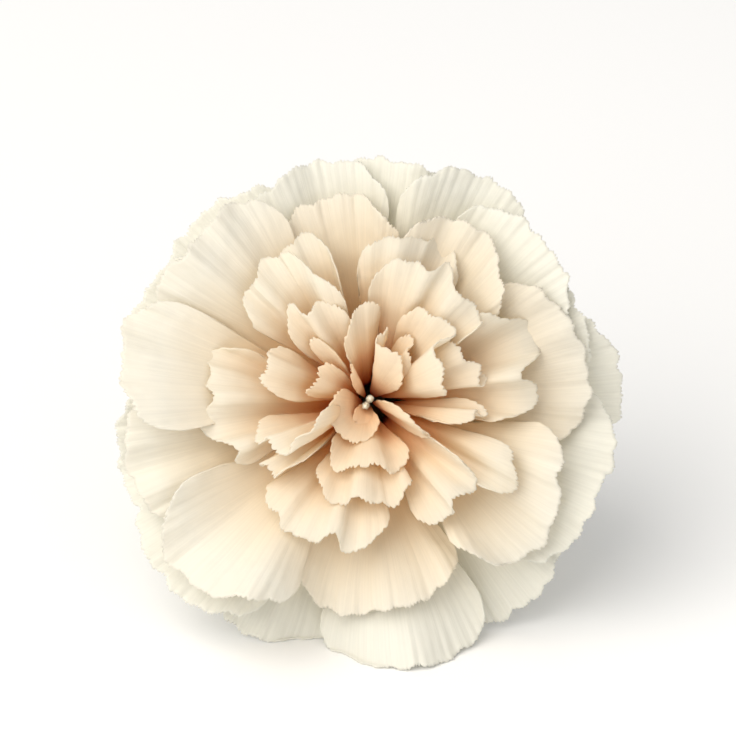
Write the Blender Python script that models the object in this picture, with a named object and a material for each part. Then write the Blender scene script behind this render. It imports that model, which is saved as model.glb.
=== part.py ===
"""Cut carnation: a fully open double bloom with its calyx, bracts and a short cut stem, lying on a surface.

The bloom is laid out in a bud map, the cross-section of the closed bud drawn 60 mm wide, with azimuth 0 at
+X and 90 at +Y. Every petal is a curve in that map. As the bud opens, each point of the map runs out along a
flow line: up the calyx tube, then outwards, and further the nearer it starts to the rim. A petal is all the
flow lines that start on its curve. Flow lines never cross, so petals whose curves don't meet never cut
through each other, however folded they are.
Lengths are in millimetres until a mesh is made.
"""
import math

import bmesh
import bpy
import numpy as np
from mathutils import Matrix

MM = 0.001

# The bloom. Heights and lengths along the flower's axis are counted from the mouth of the calyx.
MAP_RADIUS = 30.0
MOUTH_RADIUS = 7.4
CLAW_DEPTH = 13.0
CLAW_TAPER = 0.86
CLAW_WIDTH = 2.3
BEND_LENGTH = 7.0
# How far a flow line leans from the flower's axis in the end, in degrees, at shares of the map's radius
LEAN = ((0.0, 0.0), (0.15, 10.0), (0.3, 21.0), (0.45, 33.0), (0.6, 46.0), (0.7, 61.0), (0.8, 75.0),
        (0.9, 87.0), (1.0, 99.0))
# Ruffles that neighbouring petals share: how many go round the bloom, their depth in the map, their drift
# with the radius, and their phase
RUFFLES = ((7, 1.0, 0.3, 0.0), (11, 0.5, -0.2, 1.0))
RUFFLE_START = 8.0
RUFFLE_RUN = 14.0
RIM_ROUNDING = 0.10

# Petals
BLADE_THICKNESS = 0.3
CLAW_THICKNESS = 0.16
ROWS = 7
RING_COLUMNS = 9

# Calyx, receptacle, styles, bracts and stem
GAP = 0.3
SIDES = 30
CALYX_WALL = 0.6
CALYX_BORE = 8.1
TOOTH_COUNT = 5
TOOTH_LENGTH = 4.5
CALYX_PROFILE = ((-26.0, 3.0), (-25.0, 4.3), (-22.0, 5.6), (-17.0, 6.9), (-CLAW_DEPTH, 7.45), (-5.0, 8.2),
                 (0.0, CALYX_BORE + CALYX_WALL))
STYLE_TURNS = (60.0, 235.0)
STYLE_PLACE = 1.2
STYLE_LENGTH = 15.0
STYLE_RADIUS = 0.14
STYLE_TIP_RADIUS = 0.4
BRACT_SPAN = 47.0
BRACT_LENGTH = 11.5
BRACT_THICKNESS = 0.4
# The inner pair of bracts, then the outer pair: azimuth, and how much further out than the inner pair
BRACTS = ((0.0, 0.0), (180.0, 0.0), (90.0, BRACT_THICKNESS + GAP), (270.0, BRACT_THICKNESS + GAP))
STEM_RADIUS = 2.3
STEM_WAIST = 2.1
STEM_COLLAR = 3.3
STEM_BOW = 1.6
STEM_CUT = 40.0
STEM_SIDES = 14
STYLE_SIDES = 6

# How the cut flower lies: its axis leans back by this many degrees from straight up, and the mouth of its
# calyx is this far above the surface, measured square to it. Petals that reach the surface are pressed to it.
REST_LEAN = 60.0
REST_HEIGHT = 28.7
PRESSED_LAYER = 0.3
DOWN = np.array((0.0, -math.sin(math.radians(REST_LEAN)), -math.cos(math.radians(REST_LEAN))))

# The largest petals: name, azimuth, half its span in degrees, place in the map from 0 to 30, how much further
# out its first edge lies than its last, and its length above the calyx
OUTER_PETALS = (
    ("outer_petal_01", 84, 24, 28.9, 0.2, 34.2),
    ("outer_petal_02", 105, 22, 27.1, 0.3, 34.6),
    ("outer_petal_03", 131, 25, 28.9, 0.2, 35.2),
    ("outer_petal_04", 157, 22, 27.4, 0.3, 35.2),
    ("outer_petal_05", 197, 25, 28.9, 0.2, 36.0),
    ("outer_petal_06", 222, 22, 26.9, 0.1, 39.0),
    ("outer_petal_07", 245, 18, 28.9, 0.2, 37.0),
    ("outer_petal_08", 279, 22, 27.4, -0.2, 39.2),
    ("outer_petal_09", 309, 20, 28.9, 0.2, 36.2),
    ("outer_petal_10", 338, 26, 26.0, -0.3, 36.8),
    ("outer_petal_11", 6, 20, 28.9, 0.2, 35.8),
    ("outer_petal_12", 22, 20, 26.9, 0.1, 33.4),
    ("outer_petal_13", 42, 24, 25.3, 0.2, 35.0),
    ("outer_petal_14", 62, 20, 27.5, 0.2, 36.0),
)
MIDDLE_PETALS = (
    ("middle_petal_01", 138, 25, 23.4, 0.3, 37.2),
    ("middle_petal_02", 170, 19, 21.9, 0.3, 39.4),
    ("middle_petal_03", 194, 24, 24.2, 0.3, 37.0),
    ("middle_petal_04", 226, 24, 22.6, -0.3, 38.6),
    ("middle_petal_05", 273, 29, 24.2, -0.2, 31.4),
    ("middle_petal_06", 327, 27, 22.4, -0.3, 34.0),
    ("middle_petal_07", 14, 29, 24.0, 0.2, 33.0),
    ("middle_petal_08", 57, 24, 22.4, -0.2, 31.0),
    ("middle_petal_09", 100, 22, 24.6, -0.2, 30.4),
)
# The folded petals of the heart: name, length, and the points of its curve in the map
INNER_PETALS = (
    ("inner_petal_01", 29.0, (19.8, -3.4), (20.4, 0.6), (18.6, 4.4),
     (19.6, 8.6), (16.2, 12.0), (15.2, 14.2)),
    ("inner_petal_02", 29.0, (13.0, 17.0), (10.2, 17.6), (7.6, 19.6),
     (3.8, 19.2), (0.8, 20.4), (-2.0, 20.2)),
    ("inner_petal_03", 28.5, (-0.2, 17.4), (3.2, 17.8), (6.2, 15.8), (9.0, 15.8),
     (11.4, 13.2), (14.6, 12.4), (14.8, 8.6)),
    ("inner_petal_04", 26.0, (5.0, 14.0), (8.2, 12.6), (9.7, 9.2), (7.9, 6.2), (9.0, 2.6), (12.2, 0.8)),
    ("inner_petal_05", 25.0, (12.2, 11.2), (11.2, 7.4), (12.6, 4.6), (16.0, 3.2), (16.8, 6.4)),
    ("inner_petal_06", 24.0, (-3.8, 8.6), (-2.2, 11.4), (0.4, 12.4), (1.8, 15.2)),
    ("inner_petal_07", 23.0, (3.2, 12.6), (2.2, 9.0), (1.6, 6.6), (3.0, 4.2), (5.8, 2.6)),
    ("inner_petal_08", 22.0, (5.2, 11.4), (5.8, 8.4), (5.0, 6.4), (6.8, 4.6)),
    ("inner_petal_09", 20.0, (-4.6, 3.0), (-4.0, -1.2), (-2.6, -4.6), (0.0, -4.8), (1.4, -2.4)),
    ("inner_petal_10", 22.5, (2.6, 0.6), (4.2, -1.8), (7.2, -3.4), (9.0, -6.6)),
    ("inner_petal_11", 30.0, (19.0, -5.6), (16.8, -6.8), (16.6, -9.4), (13.8, -10.8)),
    ("inner_petal_12", 28.0, (-15.0, -12.4), (-11.4, -14.0), (-9.4, -17.2),
     (-5.0, -16.6), (-1.4, -18.4), (3.6, -17.2)),
    ("inner_petal_13", 23.0, (-7.0, -6.6), (-3.6, -8.6), (0.4, -7.2), (3.8, -8.8), (7.6, -9.0)),
    ("inner_petal_14", 25.0, (-8.8, -10.6), (-5.0, -13.2), (-1.0, -11.4),
     (2.6, -13.4), (5.6, -11.6), (7.6, -12.6)),
    ("inner_petal_15", 27.5, (10.6, -5.4), (12.8, -9.6), (10.3, -12.8), (10.8, -15.8), (7.0, -18.0)),
    ("inner_petal_16", 26.5, (-17.2, -2.2), (-14.6, -4.8), (-11.4, -4.2),
     (-8.8, -5.8), (-6.6, -3.4), (-6.2, -0.2)),
    ("inner_petal_17", 21.0, (-10.4, 1.4), (-7.4, 2.2), (-6.8, 4.6), (-4.8, 6.0)),
    ("inner_petal_18", 28.5, (-18.2, 8.6), (-19.6, 4.8), (-17.8, 1.2),
     (-19.9, -2.6), (-18.2, -6.2), (-18.4, -9.8)),
    ("inner_petal_19", 25.0, (-14.8, 9.4), (-12.8, 6.4), (-14.4, 3.2), (-12.6, 0.4)),
    ("inner_petal_20", 26.0, (-16.2, -9.0), (-13.4, -7.6), (-11.6, -9.6), (-9.0, -7.8)),
    ("inner_petal_21", 30.0, (-17.2, 11.0), (-15.4, 14.0), (-12.2, 14.2),
     (-9.6, 16.4), (-6.4, 14.8), (-3.8, 16.6)),
    ("inner_petal_22", 26.0, (-12.2, 9.4), (-10.2, 11.8), (-7.4, 10.8), (-5.6, 12.8), (-2.4, 13.8)),
    ("inner_petal_23", 29.0, (-11.4, 18.0), (-8.6, 18.2), (-6.2, 20.0), (-4.2, 19.2)),
    ("inner_petal_24", 18.0, (-2.4, 2.4), (-1.6, 4.6), (-2.8, 6.4)),
    ("inner_petal_25", 25.0, (11.4, -3.2), (13.8, -1.2), (15.8, -1.8), (17.4, 0.8)),
    ("inner_petal_26", 22.5, (-9.2, 8.0), (-7.2, 8.8), (-5.2, 8.0)),
    ("inner_petal_27", 17.0, (1.4, -2.2), (-0.8, -2.4), (-2.2, -1.0)),
)


def smooth_step(x):
    """0 below 0, 1 above 1, and an even S between."""
    x = np.clip(x, 0.0, 1.0)
    return x * x * (3.0 - 2.0 * x)


def lean_angle(share):
    """The final lean, in radians, of the flow line at this share of the map's radius: smooth through LEAN."""
    shares, degrees = np.array(LEAN).T
    slopes = np.gradient(degrees, shares)
    i = np.clip(np.searchsorted(shares, share) - 1, 0, len(shares) - 2)
    width = shares[i + 1] - shares[i]
    t = np.clip((share - shares[i]) / width, 0.0, 1.0)
    beyond = np.maximum(share - shares[-1], 0.0) * slopes[-1]
    value = ((2 * t**3 - 3 * t**2 + 1) * degrees[i] + (t**3 - 2 * t**2 + t) * width * slopes[i]
             + (3 * t**2 - 2 * t**3) * degrees[i + 1] + (t**3 - t**2) * width * slopes[i + 1])
    return np.radians(value + beyond)


def flow(x, y, height):
    """Where the flow line from x, y in the map is after this length, counted from the calyx's mouth."""
    steps = 40
    radius = np.hypot(x, y)
    share = radius / MAP_RADIUS
    out = np.maximum(height, 0.0)
    down = np.minimum(height, 0.0)
    final = lean_angle(share)
    across = np.zeros_like(out)
    up = np.zeros_like(out)
    for step in range(steps):
        at = out * (step + 0.5) / steps
        angle = final * (1.0 - np.exp(-((at / BEND_LENGTH) ** 2)))
        across += np.sin(angle) * out / steps
        up += np.cos(angle) * out / steps
    tube = MOUTH_RADIUS * (1.0 + (1.0 - CLAW_TAPER) * down / CLAW_DEPTH)
    distance = share * tube + across
    safe = np.maximum(radius, 1e-9)
    return np.stack([x / safe * distance, y / safe * distance, up + down], axis=-1)


def ruffled(x, y, height, length):
    """Moves map points by the shared ruffles, which grow from nothing at the calyx to the petal's rim."""
    radius = np.hypot(x, y)
    azimuth = np.arctan2(y, x)
    grown = smooth_step(height / length) * smooth_step((radius - RUFFLE_START) / RUFFLE_RUN)
    waves = [depth * np.sin(count * azimuth + drift * radius + phase) for count, depth, drift, phase in RUFFLES]
    wave = sum(waves)
    scale = 1.0 + wave * grown / np.maximum(radius, 1e-9)
    return x * scale, y * scale


def spline(points, t):
    """Points at t, from -1 to 1, along a smooth curve through the points, and the curve's length."""
    p = np.array(points, float)
    ends = np.concatenate([[2 * p[0] - p[1]], p, [2 * p[-1] - p[-2]]])
    pieces = []
    for i in range(len(p) - 1):
        a, b, c, d = ends[i : i + 4]
        u = np.linspace(0, 1, 24, endpoint=i == len(p) - 2)[:, None]
        bend = (2 * a - 5 * b + 4 * c - d) * u**2 + (3 * b - 3 * c + d - a) * u**3
        pieces.append(b + 0.5 * ((c - a) * u + bend))
    fine = np.concatenate(pieces)
    length = np.concatenate([[0], np.cumsum(np.linalg.norm(np.diff(fine, axis=0), axis=1))])
    at = (t + 1) / 2 * length[-1]
    return np.stack([np.interp(at, length, fine[:, k]) for k in (0, 1)], axis=-1), length[-1]


def ring_curve(azimuth, half_span, place, slant):
    """The map curve of an outer or middle petal: an arc whose first edge lies further out than its last."""
    points = []
    for t in (-1.0, -0.5, 0.0, 0.5, 1.0):
        angle = math.radians(azimuth + t * half_span)
        radius = place - slant * t
        points.append((radius * math.cos(angle), radius * math.sin(angle)))
    return points


def pressed(points):
    """Lifts the points that the surface would cut off back above it, and crowds those close above it."""
    height = REST_HEIGHT - points @ DOWN
    lifted = (height + np.sqrt(height**2 + PRESSED_LAYER**2)) / 2.0
    return points + (height - lifted)[..., None] * DOWN


def petal_sheet(points, length, columns):
    """The petal's middle surface as a grid of points, row by row from claw to rim, and its thickness there."""
    side = np.linspace(-1.0, 1.0, columns)
    _, curve_length = spline(points, np.zeros(1))
    claw_share = min(0.8, CLAW_WIDTH / (curve_length * MOUTH_RADIUS / MAP_RADIUS))
    rim = length * (1.0 - RIM_ROUNDING * np.abs(side) ** 2.5)
    claw_rows = (np.full(columns, -CLAW_DEPTH), np.full(columns, -0.5))
    blade_rows = (rim * share**1.3 for share in np.linspace(0.0, 1.0, ROWS - 1)[1:])
    grid, thickness = [], []
    for height in (*claw_rows, *blade_rows):
        opened = smooth_step(1.15 * height / length) ** 0.75
        place, _ = spline(points, side * (claw_share + (1.0 - claw_share) * opened))
        x, y = ruffled(place[:, 0], place[:, 1], height, length)
        grid.append(pressed(flow(x, y, height)))
        blade_share = smooth_step(2.5 * height / length)
        thickness.append(CLAW_THICKNESS + (BLADE_THICKNESS - CLAW_THICKNESS) * blade_share)
    return np.array(grid), np.array(thickness)


def grid_normals(grid):
    """The unit normal at each point of a grid surface."""
    normal = np.cross(np.gradient(grid, axis=1), np.gradient(grid, axis=0))
    return normal / np.linalg.norm(normal, axis=-1, keepdims=True)


def sheet_solid(grid, thickness):
    """Points and faces of the closed solid that lies half its thickness to each side of a grid surface."""
    rows, columns = grid.shape[:2]
    offset = grid_normals(grid) * thickness[..., None] / 2
    points = np.concatenate([(grid + offset).reshape(-1, 3), (grid - offset).reshape(-1, 3)])
    back = rows * columns
    index = np.arange(back).reshape(rows, columns)
    faces = []
    for i in range(rows - 1):
        for j in range(columns - 1):
            a, b, c, d = index[i, j], index[i, j + 1], index[i + 1, j + 1], index[i + 1, j]
            faces += [(a, b, c), (a, c, d), (back + a, back + c, back + b), (back + a, back + d, back + c)]
    border = [*index[0], *index[1:, -1], *index[-1, -2::-1], *index[-2:0:-1, 0]]
    for a, b in zip(border, border[1:] + border[:1]):
        faces += [(b, a, back + a), (b, back + a, back + b)]
    return points, faces


def ring_solid(rings, first_pole, last_pole):
    """Points and faces of the closed solid through rings of points, shut at each end by a fan to a pole."""
    count = len(rings[0])
    points = np.concatenate([*rings, [first_pole], [last_pole]])
    poles = (len(points) - 2, len(points) - 1)
    faces = []
    for j in range(count):
        k = (j + 1) % count
        for i in range(len(rings) - 1):
            a, b, c, d = i * count + j, i * count + k, (i + 1) * count + k, (i + 1) * count + j
            faces += [(a, b, c), (a, c, d)]
        last = (len(rings) - 1) * count
        faces += [(poles[0], k, j), (poles[1], last + j, last + k)]
    return points, faces


def circle(radius, height, sides):
    """A level ring of points about the flower's axis."""
    turns = np.arange(sides) / sides * math.tau
    return np.stack([radius * np.cos(turns), radius * np.sin(turns), np.full(sides, height)], axis=-1)


def calyx_rim(share, length_share):
    """A ring of the flow at this share of the map, run up each tooth of the calyx by part of its length."""
    turns = np.arange(SIDES) / SIDES * math.tau
    tooth = np.abs((turns / math.tau * TOOTH_COUNT) % 1.0 - 0.5) * 2.0
    height = TOOTH_LENGTH * (0.15 + 0.85 * tooth) * length_share
    radius = share * MAP_RADIUS
    return flow(radius * np.cos(turns), radius * np.sin(turns), height)


def calyx():
    """The green cup round the claws: an open tube with a closed base, whose teeth follow the outer petals."""
    outer_share = (CALYX_BORE + CALYX_WALL) / MOUTH_RADIUS
    inner_share = CALYX_BORE / MOUTH_RADIUS
    outside = [circle(radius, height, SIDES) for height, radius in CALYX_PROFILE]
    middle_share = (outer_share + inner_share) / 2
    rim = [calyx_rim(outer_share, 0.5), calyx_rim(middle_share, 1.0), calyx_rim(inner_share, 0.5)]
    inside = [circle(radius - CALYX_WALL, height, SIDES) for height, radius in CALYX_PROFILE[:1:-1]]
    foot, foot_radius = CALYX_PROFILE[1]
    inside.append(circle(foot_radius - CALYX_WALL, foot + CALYX_WALL, SIDES))
    return ring_solid([*outside, *rim, *inside], (0, 0, CALYX_PROFILE[0][0]), (0, 0, foot + CALYX_WALL))


def receptacle():
    """The fleshy core in the base of the calyx, with the ovary in it, that the claws stand on."""
    inset = CALYX_WALL + GAP
    foot, foot_radius = CALYX_PROFILE[1]
    rings = [circle(foot_radius - inset, foot + inset, SIDES)]
    rings += [circle(radius - inset, height, SIDES) for height, radius in CALYX_PROFILE[2:4]]
    top, top_radius = CALYX_PROFILE[4]
    rings.append(circle(top_radius - inset, top - GAP, SIDES))
    return ring_solid(rings, (0, 0, foot + inset), (0, 0, top - GAP))


def style(turn):
    """One of the two thin horns that stand up from the ovary between the innermost petals."""
    heights = np.array([-CLAW_DEPTH, -6.0, 0.0, 5.0, 9.0, 12.5, STYLE_LENGTH])
    x = np.full(len(heights), STYLE_PLACE * math.cos(math.radians(turn)))
    y = np.full(len(heights), STYLE_PLACE * math.sin(math.radians(turn)))
    middle = flow(x, y, heights)
    grown = smooth_step(heights / STYLE_LENGTH)
    radii = STYLE_RADIUS + (STYLE_TIP_RADIUS - STYLE_RADIUS) * grown
    rings = [circle(radius, 0.0, STYLE_SIDES) + point for point, radius in zip(middle, radii)]
    return ring_solid(rings, middle[0], middle[-1])


def bract(turn, spacing):
    """One scale at the foot of the calyx: a broad leaf that wraps it, narrows to a point and stands off."""
    heights, radii = np.array(CALYX_PROFILE).T
    rows = []
    for along in (0.0, 0.25, 0.5, 0.75, 1.0):
        height = CALYX_PROFILE[0][0] + 1.0 + along * BRACT_LENGTH
        half_width = BRACT_SPAN * (1.0 - 0.93 * along**1.8)
        radius = np.interp(height, heights, radii) + GAP + BRACT_THICKNESS / 2 + spacing + 1.0 * along**2
        turns = np.radians(turn + np.linspace(-half_width, half_width, 7))
        rows.append(np.stack([radius * np.cos(turns), radius * np.sin(turns), np.full(7, height)], axis=-1))
    return sheet_solid(np.array(rows), np.full((5, 7), BRACT_THICKNESS))


def stem_rings(length):
    """The rings of a stem of this length: a collar under the calyx, a gentle bow, and a slanting cut."""
    rings = []
    for share, radius in ((0.0, STEM_COLLAR), (0.05, STEM_COLLAR), (0.12, STEM_RADIUS), (0.35, STEM_WAIST),
                          (0.7, STEM_WAIST), (1.0, STEM_RADIUS)):
        ring = circle(radius, CALYX_PROFILE[0][0] - GAP - share * length, STEM_SIDES)
        if share == 1.0:
            ring[:, 2] += ring[:, 1] * math.tan(math.radians(STEM_CUT))
        rings.append(ring - (0.0, STEM_BOW * share**2, 0.0))
    return rings


def stem():
    """The short cut stem, as long as it takes for the lower edge of its cut to reach the surface."""
    above = REST_HEIGHT - (stem_rings(0.0)[-1] @ DOWN).max()
    rings = stem_rings(above / -DOWN[2])
    return ring_solid(rings, rings[0].mean(axis=0), rings[-1].mean(axis=0))


def material(name, colour, roughness):
    """A plain material of this part's colour."""
    made = bpy.data.materials.new(name)
    made.use_nodes = True
    shader = made.node_tree.nodes["Principled BSDF"]
    shader.inputs["Base Color"].default_value = (*colour, 1.0)
    shader.inputs["Roughness"].default_value = roughness
    return made


def add_object(name, solid, finish, parent):
    """Makes one closed solid into an object that hangs on the flower's axis."""
    points, faces = solid
    mesh = bpy.data.meshes.new(name)
    mesh.from_pydata((np.array(points) * MM).tolist(), [], [[int(i) for i in face] for face in faces])
    shape = bmesh.new()
    shape.from_mesh(mesh)
    bmesh.ops.recalc_face_normals(shape, faces=shape.faces)
    shape.to_mesh(mesh)
    shape.free()
    mesh.shade_smooth()
    mesh.materials.append(finish)
    obj = bpy.data.objects.new(name, mesh)
    bpy.context.scene.collection.objects.link(obj)
    obj.parent = parent
    return obj


def lay_down(axis, objects):
    """Leans the flower over so that its face looks to -Y and up, and sets it on the ground at the origin."""
    turn = Matrix.Rotation(math.radians(REST_LEAN), 3, "X")
    corners = np.concatenate([[turn @ v.co for v in obj.data.vertices] for obj in objects])
    low, high = corners.min(axis=0), corners.max(axis=0)
    axis.rotation_euler = turn.to_euler()
    axis.location = (-(low[0] + high[0]) / 2, -(low[1] + high[1]) / 2, -low[2])


def main():
    for obj in list(bpy.data.objects):
        bpy.data.objects.remove(obj)
    axis = bpy.data.objects.new("flower_axis", None)
    bpy.context.scene.collection.objects.link(axis)
    ivory = material("ivory_petal", (0.84, 0.80, 0.70), 0.6)
    peach = material("peach_petal", (0.86, 0.66, 0.44), 0.6)
    green = material("green_calyx", (0.30, 0.40, 0.18), 0.55)
    objects = []
    for name, azimuth, half_span, place, slant, length in OUTER_PETALS + MIDDLE_PETALS:
        sheet = petal_sheet(ring_curve(azimuth, half_span, place, slant), length, RING_COLUMNS)
        objects.append(add_object(name, sheet_solid(*sheet), ivory, axis))
    for name, length, *points in INNER_PETALS:
        sheet = petal_sheet(points, length, 1 + 2 * len(points))
        objects.append(add_object(name, sheet_solid(*sheet), peach, axis))
    objects.append(add_object("calyx", calyx(), green, axis))
    objects.append(add_object("receptacle", receptacle(), green, axis))
    objects.append(add_object("stem", stem(), green, axis))
    for number, turn in enumerate(STYLE_TURNS, 1):
        objects.append(add_object(f"style_{number}", style(turn), peach, axis))
    for number, (turn, spacing) in enumerate(BRACTS, 1):
        objects.append(add_object(f"bract_{number}", bract(turn, spacing), green, axis))
    lay_down(axis, objects)


main()
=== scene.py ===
# %% [markdown]
# # A cut carnation, fully open, lying on a pale surface
# A double carnation is about fifty thin petals that stand in a green tube, the calyx, and spill out
# over its mouth. This lesson builds the looks of one bloom: the frame file already holds the plain
# solids at their real size and place, so every fine piece made here stands in for one of those solids
# and never leaves its place.

# %% Load the frame
import math

import bmesh
import bpy
import numpy as np
from mathutils import Matrix, Vector


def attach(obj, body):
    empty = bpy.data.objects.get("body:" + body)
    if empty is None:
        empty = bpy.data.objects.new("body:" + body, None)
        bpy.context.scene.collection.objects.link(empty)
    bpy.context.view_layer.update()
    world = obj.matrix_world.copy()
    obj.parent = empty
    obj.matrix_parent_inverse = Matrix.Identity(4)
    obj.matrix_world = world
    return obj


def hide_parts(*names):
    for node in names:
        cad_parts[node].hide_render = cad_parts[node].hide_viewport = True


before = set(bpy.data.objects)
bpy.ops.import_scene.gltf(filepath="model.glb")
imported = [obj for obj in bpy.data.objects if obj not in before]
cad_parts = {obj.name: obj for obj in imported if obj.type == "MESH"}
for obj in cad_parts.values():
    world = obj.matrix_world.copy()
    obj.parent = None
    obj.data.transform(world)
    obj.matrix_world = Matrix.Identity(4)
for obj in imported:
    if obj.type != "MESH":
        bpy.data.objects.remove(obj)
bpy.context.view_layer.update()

MM = 0.001
print("nodes in the frame:", len(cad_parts))

# %% [markdown]
# ## One language for colours, one for nodes
# Colours are easiest to judge as the hex values that a screen shows, but shaders mix light, so one
# function turns hex into linear values. A second one adds a shader or geometry node, sets what it is
# told to and makes its links. With just these two, each material below reads like a recipe.


# %% Colour and node helpers
def hex_colour(code):
    """The linear colour, with alpha 1, of an sRGB hex value."""
    values = [int(code[i : i + 2], 16) / 255 for i in (1, 3, 5)]
    return (*(v / 12.92 if v <= 0.04045 else ((v + 0.055) / 1.055) ** 2.4 for v in values), 1.0)


def add_node(tree, kind, links=(), values=(), **settings):
    """Adds a node of this kind, sets its properties and inputs, and links outputs to its inputs."""
    node = tree.nodes.new(kind)
    for name, value in settings.items():
        setattr(node, name, value)
    for name, value in dict(values).items():
        node.inputs[name].default_value = value
    for name, output in dict(links).items():
        tree.links.new(output, node.inputs[name])
    return node


def new_material(name):
    """An empty node material and its tree."""
    made = bpy.data.materials.new(name)
    made.use_nodes = True
    made.node_tree.nodes.clear()
    return made, made.node_tree


print("ivory in linear light:", [round(v, 3) for v in hex_colour("#ecebdf")])

# %% [markdown]
# ## The bud map: how the petals open
# A bud's petals lie packed in a tube, and none can pass through another as it opens. The bud's
# cross-section is drawn as a map 60 mm wide, and each map point runs out along a flow line: up the
# tube, then outwards, further the nearer it starts to the rim. Flow lines never cross, so petals that
# don't meet in the map never cut each other. Modelling each petal by hand and pulling it clear of its
# neighbours would take far longer. These are the same sizes and rules as the solids in the frame have.

# %% Sizes of the bloom
# Lengths are in millimetres and angles in degrees
MAP_RADIUS = 30.0
MOUTH_RADIUS = 7.4
CLAW_DEPTH = 13.0
CLAW_TAPER = 0.86
CLAW_WIDTH = 2.3
BEND_LENGTH = 7.0
# How far a flow line leans from the flower's axis in the end, in degrees, at shares of the map's radius
LEAN = ((0.0, 0.0), (0.15, 10.0), (0.3, 21.0), (0.45, 33.0), (0.6, 46.0), (0.7, 61.0), (0.8, 75.0),
        (0.9, 87.0), (1.0, 99.0))
# Ruffles that neighbouring petals share: how many go round the bloom, their depth in the map, their
# drift with the radius, and their phase
RUFFLES = ((7, 1.0, 0.3, 0.0), (11, 0.5, -0.2, 1.0))
RUFFLE_START = 8.0
RUFFLE_RUN = 14.0
GAP = 0.3
# How the flower lies: the lean of its axis from straight up, the height of the calyx's mouth above the
# surface, measured square to it, and how thin the layer is in which petals are pressed against it
REST_LEAN = 60.0
REST_HEIGHT = 28.7
PRESSED_LAYER = 0.3
DOWN = np.array((0.0, -math.sin(math.radians(REST_LEAN)), -math.cos(math.radians(REST_LEAN))))
print("the flower's axis stands", 90 - REST_LEAN, "degrees above the horizon")

# %% [markdown]
# ## One flow line
# As the bud opens, each point of a petal rises up the tube and then bends outwards. The bend could be a
# circle's arc, but a real petal leaves the calyx straight and bends more and more, so the angle grows
# smoothly with the length, and the line is added up in short straight steps. A petal may also lean
# further near its tip, which rolls its rim over.

# %% The flow of an opening bud
FLOW_STEPS = 40
CURL_EASE = 1.5


def smooth_step(x):
    """0 below 0, 1 above 1, and an even S between."""
    x = np.clip(x, 0.0, 1.0)
    return x * x * (3.0 - 2.0 * x)


def lean_angle(share):
    """The final lean of the flow line at this share of the map's radius, in radians."""
    shares, degrees = np.array(LEAN).T
    slopes = np.gradient(degrees, shares)
    i = np.clip(np.searchsorted(shares, share) - 1, 0, len(shares) - 2)
    width = shares[i + 1] - shares[i]
    t = np.clip((share - shares[i]) / width, 0.0, 1.0)
    beyond = np.maximum(share - shares[-1], 0.0) * slopes[-1]
    value = ((2 * t**3 - 3 * t**2 + 1) * degrees[i] + (t**3 - 2 * t**2 + t) * width * slopes[i]
             + (3 * t**2 - 2 * t**3) * degrees[i + 1] + (t**3 - t**2) * width * slopes[i + 1])
    return np.radians(value + beyond)


def flow(x, y, height, curl=0.0, curl_start=0.0, curl_run=1.0):
    """Where the flow line from x, y in the map is after this length. Past curl_start it leans further."""
    radius = np.hypot(x, y)
    share = radius / MAP_RADIUS
    out = np.maximum(height, 0.0)
    down = np.minimum(height, 0.0)
    final = lean_angle(share)
    across = np.zeros_like(out)
    up = np.zeros_like(out)
    for step in range(FLOW_STEPS):
        at = out * (step + 0.5) / FLOW_STEPS
        angle = final * (1.0 - np.exp(-((at / BEND_LENGTH) ** 2)))
        angle = angle + curl * np.clip((at - curl_start) / curl_run, 0.0, 1.0) ** CURL_EASE
        across += np.sin(angle) * out / FLOW_STEPS
        up += np.cos(angle) * out / FLOW_STEPS
    tube = MOUTH_RADIUS * (1.0 + (1.0 - CLAW_TAPER) * down / CLAW_DEPTH)
    distance = share * tube + across
    safe = np.maximum(radius, 1e-9)
    return np.stack([x / safe * distance, y / safe * distance, up + down], axis=-1)


print("a rim point's flow ends at", flow(np.array([30.0]), np.array([0.0]), np.array([36.0])).round(1))

# %% [markdown]
# ## Ruffles that neighbours share, and the surface below
# Petals that lie on each other wave together, so the big ruffles belong to the map and move every petal
# in it alike. Small sine waves round the bloom do that with no risk that two petals cut each other. The
# lowest petals rest on a surface, which presses their rims flat: a curve that is straight far from the
# surface and levels off close above it lifts just the points that would sink into it.


# %% Ruffles and resting
def ruffled(x, y, height, length):
    """Moves map points by the ruffles that all petals share, which grow from the calyx to the rim."""
    radius = np.hypot(x, y)
    azimuth = np.arctan2(y, x)
    grown = smooth_step(height / length) * smooth_step((radius - RUFFLE_START) / RUFFLE_RUN)
    waves = [depth * np.sin(count * azimuth + drift * radius + phase)
             for count, depth, drift, phase in RUFFLES]
    wave = sum(waves)
    scale = 1.0 + wave * grown / np.maximum(radius, 1e-9)
    return x * scale, y * scale


def pressed(points):
    """Lifts the points that the surface would cut off back above it, and crowds those close above it."""
    height = REST_HEIGHT - points @ DOWN
    lifted = (height + np.sqrt(height**2 + PRESSED_LAYER**2)) / 2.0
    return points + (height - lifted)[..., None] * DOWN


print("a point level with the surface is lifted by", PRESSED_LAYER / 2, "mm")

# %% [markdown]
# ## Smooth curves from a few points
# A petal's curve is given by only the points that its folds need. A smooth curve through them could be
# one of Blender's own curve objects. Here it is worked out in a few lines, because the petals need its
# points at even distances as plain numbers.

# %% Curves in the map
FINE_STEPS = 24


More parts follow.
